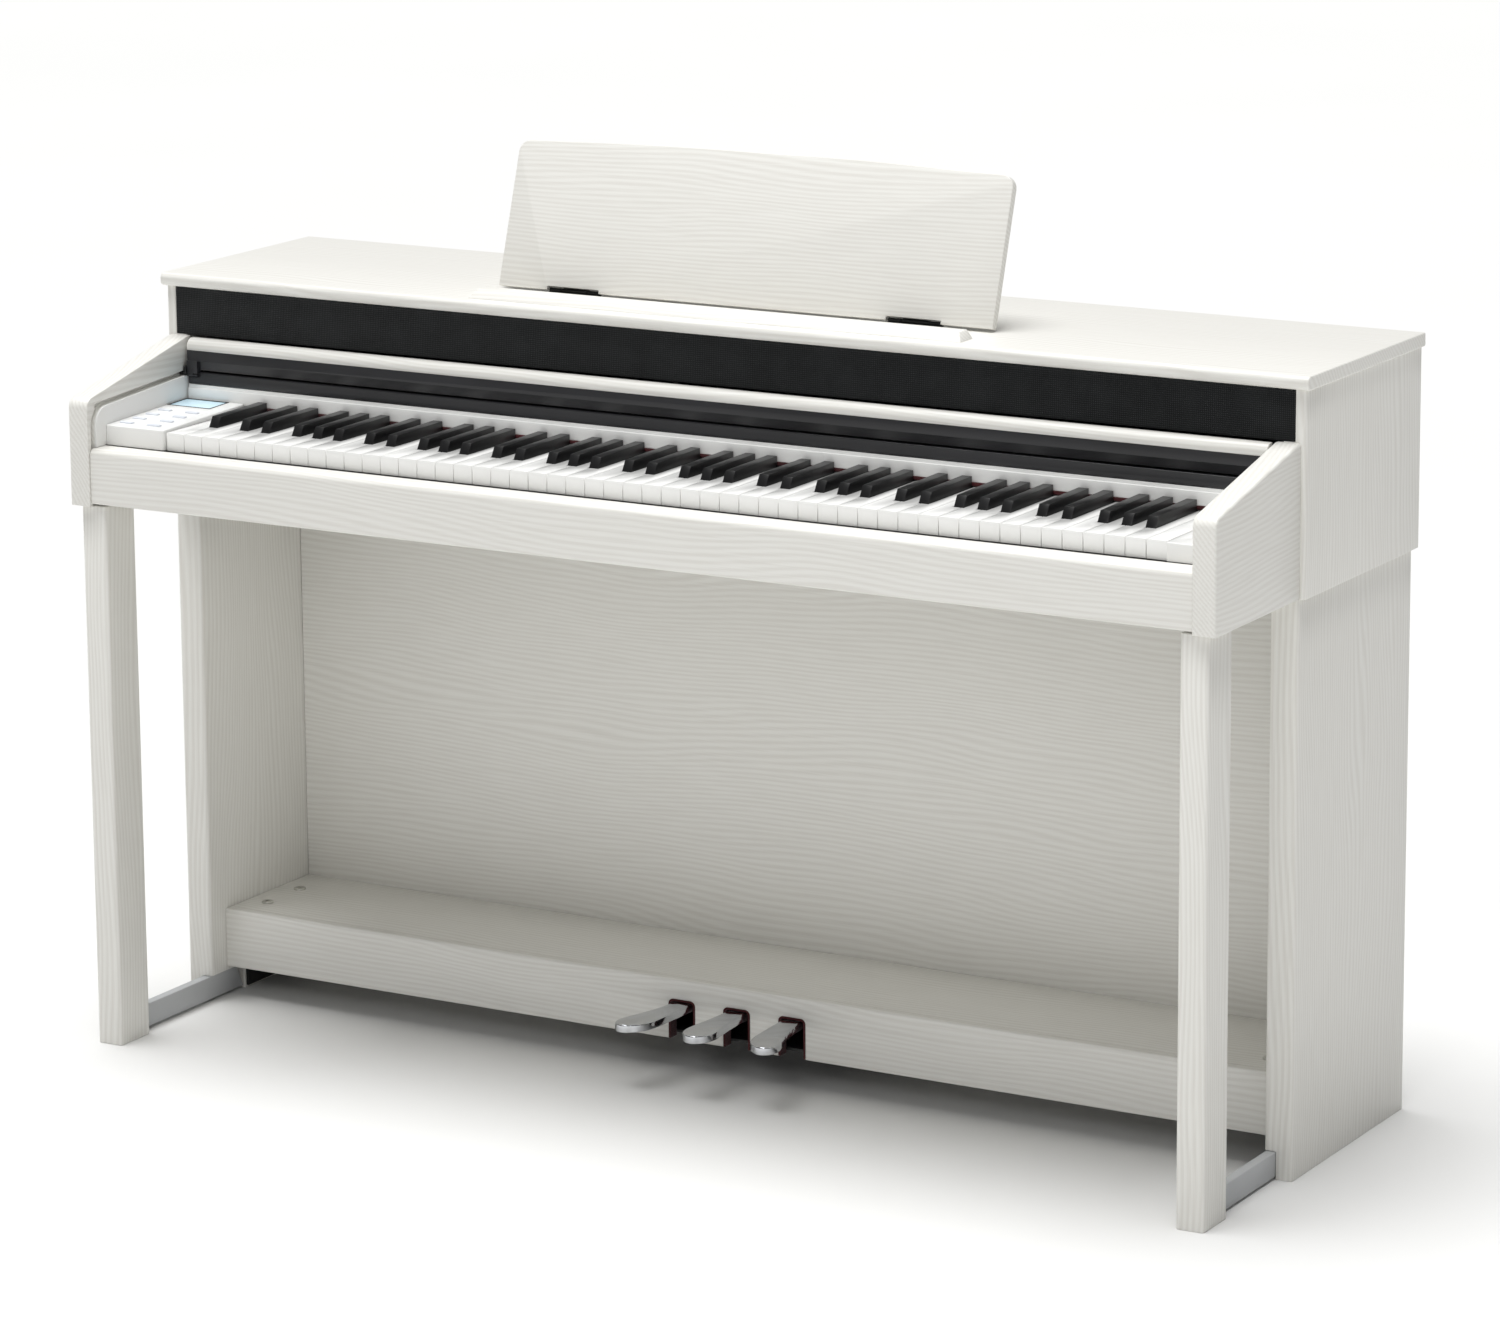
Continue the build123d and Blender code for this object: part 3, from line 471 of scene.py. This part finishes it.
# Copies a CAD node, joins its loose triangles into whole faces and eases its edges
def easedCopy(node, radius, values):
    name = "".join(word.capitalize() for word in node.split("_")) + "Piece"
    piece = bpy.data.objects.new(name, nodes[node].data.copy())
    bpy.context.scene.collection.objects.link(piece)
    activate(piece)
    bpy.ops.object.mode_set(mode="EDIT")
    bpy.ops.mesh.select_all(action="SELECT")
    bpy.ops.mesh.remove_doubles(threshold=values["joinWithin"])
    bpy.ops.mesh.dissolve_limited(angle_limit=math.radians(values["flatWithinDegrees"]))
    bpy.ops.mesh.normals_make_consistent(inside=False)
    bpy.ops.object.mode_set(mode="OBJECT")
    ease = piece.modifiers.new("Ease", "BEVEL")
    ease.width = radius
    ease.segments = values["easeSegments"]
    ease.limit_method = "ANGLE"
    ease.angle_limit = math.radians(values["easedOverDegrees"])
    bpy.ops.object.modifier_apply(modifier="Ease")
    bpy.ops.object.shade_smooth_by_angle(angle=math.radians(values["smoothUnderDegrees"]))
    piece.data.materials.clear()
    piece.data.materials.append(finishFor(node))
    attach(piece, bodyOf[node])
    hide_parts(node)


for node, radius in easeValues.items():
    easedCopy(node, radius, meshValues)
print("edges eased on", len(easeValues), "pieces")

for node, thing in nodes.items():
    if node not in easeValues:
        for slot in thing.material_slots:
            slot.material = finishFor(node)
print("materials put on the other pieces")


# A box of a real size about the origin, to be cut and shaped
def startBox(name, size):
    bpy.ops.mesh.primitive_cube_add(size=1)
    piece = bpy.context.object
    piece.name = name
    piece.scale = size
    bpy.ops.object.transform_apply(location=False, rotation=False, scale=True)
    return piece


# Enters edit mode with only the wanted faces selected, or only the wanted edges
def pick(piece, kind, wanted):
    bpy.ops.object.mode_set(mode="EDIT")
    bpy.ops.mesh.select_mode(type=kind)
    bpy.ops.mesh.select_all(action="DESELECT")
    bpy.ops.object.mode_set(mode="OBJECT")
    for part in piece.data.polygons if kind == "FACE" else piece.data.edges:
        part.select = wanted(part)
    bpy.ops.object.mode_set(mode="EDIT")


# Puts a shaped piece in its place, with its place in its mesh, and lets it ride on a body
def finishPiece(piece, place, turnDegrees, body, slot):
    activate(piece)
    piece.location = place
    piece.rotation_euler = radians(turnDegrees)
    bpy.ops.object.transform_apply()
    bpy.ops.object.mode_set(mode="EDIT")
    bpy.ops.mesh.select_all(action="SELECT")
    bpy.ops.mesh.normals_make_consistent(inside=False)
    bpy.ops.object.mode_set(mode="OBJECT")
    bpy.ops.object.shade_smooth_by_angle(angle=math.radians(meshValues["smoothUnderDegrees"]))
    piece.data.materials.append(finishes[slot])
    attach(piece, body)


liningValues = {
    "centres": {"Soft": -0.054, "Sostenuto": 0.016, "Damper": 0.086},
    "size": (0.0338, 0.0133, 0.0455),
    "frontDepth": 0.2278,
    "top": 0.0819,
    "corner": 0.0058,
    "cornerSegments": 6,
    "thick": 0.0023,
}


# The trim round a pedal's notch: an arch of thin dark red strip with rounded corners
def makeLining(name, x, values):
    _, deep, tall = values["size"]
    piece = startBox(name + "NotchLining", values["size"])
    pick(piece, "FACE", lambda face: abs(face.normal.y) > 0.9 or face.normal.z < -0.9)
    bpy.ops.mesh.delete(type="FACE")
    points = piece.data.vertices

    def isTopCorner(edge):
        ends = [points[i].co for i in edge.vertices]
        return all(end.z > 0 for end in ends) and ends[0].x * ends[1].x > 0

    pick(piece, "EDGE", isTopCorner)
    bpy.ops.mesh.bevel(offset=values["corner"], segments=values["cornerSegments"], affect="EDGES")
    bpy.ops.object.mode_set(mode="OBJECT")
    strip = piece.modifiers.new("Strip", "SOLIDIFY")
    strip.thickness = values["thick"]
    strip.offset = -1
    bpy.ops.object.modifier_apply(modifier="Strip")
    place = (x, frontPlane + values["frontDepth"] + deep / 2, values["top"] - tall / 2)
    finishPiece(piece, place, (0, 0, 0), "cabinet", "red_felt")


for name, x in liningValues["centres"].items():
    makeLining(name, x, liningValues)
print("notch linings made")


screwValues = {
    "places": [(x, depth) for x in (-0.639, 0.639) for depth in (0.272, 0.338)],
    "radius": 0.007,
    "head": 0.0024,
    "sides": 48,
    "edge": 0.0013,
    "edgeSegments": 4,
    "slotLong": 0.0072,
    "slotWide": 0.0014,
    "slotDeep": 0.0014,
    "firstTurnDegrees": 17,
    "nextTurnDegrees": 31,
}


# Cuts one arm of the cross recess into a screw's head
def cutSlot(head, turnDegrees, values):
    cutter = startBox("Cutter", (values["slotLong"], values["slotWide"], 2 * values["slotDeep"]))
    cutter.location = (0, 0, values["head"] / 2)
    cutter.rotation_euler = radians((0, 0, turnDegrees))
    activate(head)
    cut = head.modifiers.new("Cut", "BOOLEAN")
    cut.operation = "DIFFERENCE"
    cut.object = cutter
    bpy.ops.object.modifier_apply(modifier="Cut")
    bpy.data.objects.remove(cutter)


# Pan head screws on the pedal box, each turned to where the driver left it
def makeScrews(values):
    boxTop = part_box("pedal_box_top")[1].z
    heads = []
    for count, (x, depth) in enumerate(values["places"]):
        bpy.ops.mesh.primitive_cylinder_add(vertices=values["sides"], radius=values["radius"],
                                            depth=values["head"])
        head = bpy.context.object
        pick(head, "FACE", lambda face: face.normal.z > 0.9)
        bpy.ops.mesh.bevel(offset=values["edge"], segments=values["edgeSegments"], affect="EDGES")
        bpy.ops.object.mode_set(mode="OBJECT")
        cutSlot(head, 0, values)
        cutSlot(head, 90, values)
        head.location = (x, frontPlane + depth, boxTop + values["head"] / 2)
        head.rotation_euler = radians((0, 0, values["firstTurnDegrees"] + values["nextTurnDegrees"] * count))
        bpy.ops.object.transform_apply()
        heads.append(head)
    activate(heads[0])
    for head in heads:
        head.select_set(True)
    bpy.ops.object.join()
    screws = bpy.context.object
    screws.name = "PedalBoxScrews"
    finishPiece(screws, (0, 0, 0), (0, 0, 0), "cabinet", "zinc_steel")
    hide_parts("box_screws")


makeScrews(screwValues)
print("screws made")


displayFrameValues = {
    "margin": 0.0011,
    "wide": 0.0014,
    "thick": 0.0008,
    "rise": 0.0012,
    "tiltDegrees": 1.66,
}


# A thin dark frame round the screen, a little proud of the sloping panel
def makeDisplayFrame(values):
    low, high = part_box("screen")
    middle = (low + high) / 2
    size = [high[i] - low[i] + 2 * values["margin"] for i in range(2)] + [values["thick"]]
    frameRing = startBox("ScreenFrame", size)
    pick(frameRing, "FACE", lambda face: abs(face.normal.z) > 0.9)
    bpy.ops.mesh.inset(thickness=values["wide"])
    bpy.ops.mesh.delete(type="FACE")
    bpy.ops.mesh.select_mode(type="EDGE")
    bpy.ops.mesh.select_non_manifold()
    bpy.ops.mesh.bridge_edge_loops()
    bpy.ops.object.mode_set(mode="OBJECT")
    place = (middle.x, middle.y, middle.z + values["rise"])
    finishPiece(frameRing, place, (values["tiltDegrees"], 0, 0), "cabinet", "black_plastic")


makeDisplayFrame(displayFrameValues)
print("screen frame made")


jackValues = {
    "places": (-0.623, -0.587),
    "height": 0.607,
    "depth": 0.1396,
    "ring": 0.0056,
    "bead": 0.0012,
    "ringSegments": 48,
    "beadSegments": 14,
}


# The plated nut round each headphone jack
def makeJackRings(values):
    for count, x in enumerate(values["places"]):
        bpy.ops.mesh.primitive_torus_add(major_radius=values["ring"], minor_radius=values["bead"],
                                         major_segments=values["ringSegments"],
                                         minor_segments=values["beadSegments"])
        ring = bpy.context.object
        ring.name = f"JackRing{count + 1}"
        place = (x, frontPlane + values["depth"], values["height"])
        finishPiece(ring, place, (90, 0, 0), "cabinet", "zinc_steel")


makeJackRings(jackValues)
print("jack rings made")
